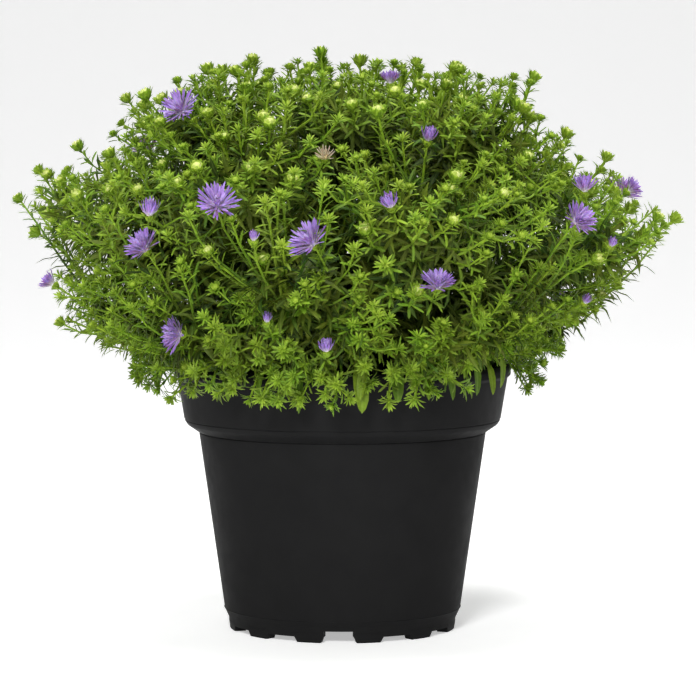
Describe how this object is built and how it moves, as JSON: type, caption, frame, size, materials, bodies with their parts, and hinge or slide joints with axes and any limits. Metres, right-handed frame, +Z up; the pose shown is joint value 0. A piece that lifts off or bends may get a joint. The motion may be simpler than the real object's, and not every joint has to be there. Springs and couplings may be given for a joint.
{
  "type": "potted aster",
  "caption": "Bushy aster in flower, a mound of narrow-leaved stems with violet daisy blooms and buds, growing in a round black plastic nursery pot filled with soil.",
  "frame": {"origin": "on the pot's axis in the plane its feet stand on, which is the middle of the base of the whole part's box", "axes": "+Z up along the pot's axis, -Y towards the front as pictured, +X to the right as seen from the front"},
  "size_m": [0.3762, 0.3599, 0.3228],
  "materials": {
    "pot_plastic": "matte moulded polypropylene with a faint sheen",
    "soil_mix": "rough moist peat and bark",
    "leaf_green": "soft satin leaf skin",
    "ray_violet": "soft matte petal",
    "ray_withered": "dry papery petal"
  },
  "bodies": {
    "root": {"pot": "pot_plastic", "soil": "soil_mix", "stem_01": "leaf_green", "stem_02": "leaf_green", "stem_03": "leaf_green", "stem_04": "leaf_green", "stem_05": "leaf_green", "stem_06": "leaf_green", "stem_07": "leaf_green", "stem_08": "leaf_green", "stem_09": "leaf_green", "stem_10": "leaf_green", "stem_11": "leaf_green", "stem_12": "leaf_green", "stem_13": "leaf_green", "stem_14": "leaf_green", "stem_15": "leaf_green", "stem_16": "leaf_green", "stem_17": "leaf_green", "stem_18": "leaf_green", "stem_19": "leaf_green", "stem_20": "leaf_green", "bloom_01": "ray_violet", "bloom_02": "ray_violet", "bloom_03": "ray_violet", "bloom_04": "ray_violet", "bloom_05": "ray_violet", "bloom_06": "ray_violet", "bloom_07": "ray_violet", "bloom_08": "ray_violet", "bloom_09": "ray_violet", "bloom_10": "ray_violet", "bloom_11": "ray_violet", "bloom_12": "ray_violet", "bloom_13": "ray_violet", "bloom_14": "ray_violet", "bloom_15": "ray_violet", "bloom_16": "ray_violet", "bloom_17": "ray_violet", "bloom_18": "ray_violet", "bloom_19": "ray_withered", "bloom_20": "ray_violet", "bloom_21": "ray_violet", "bloom_22": "ray_violet", "bloom_23": "ray_violet", "bloom_24": "ray_violet", "bloom_25": "ray_violet", "bloom_26": "ray_violet", "bloom_27": "ray_violet", "bloom_28": "ray_violet"}
  },
  "joints": []
}
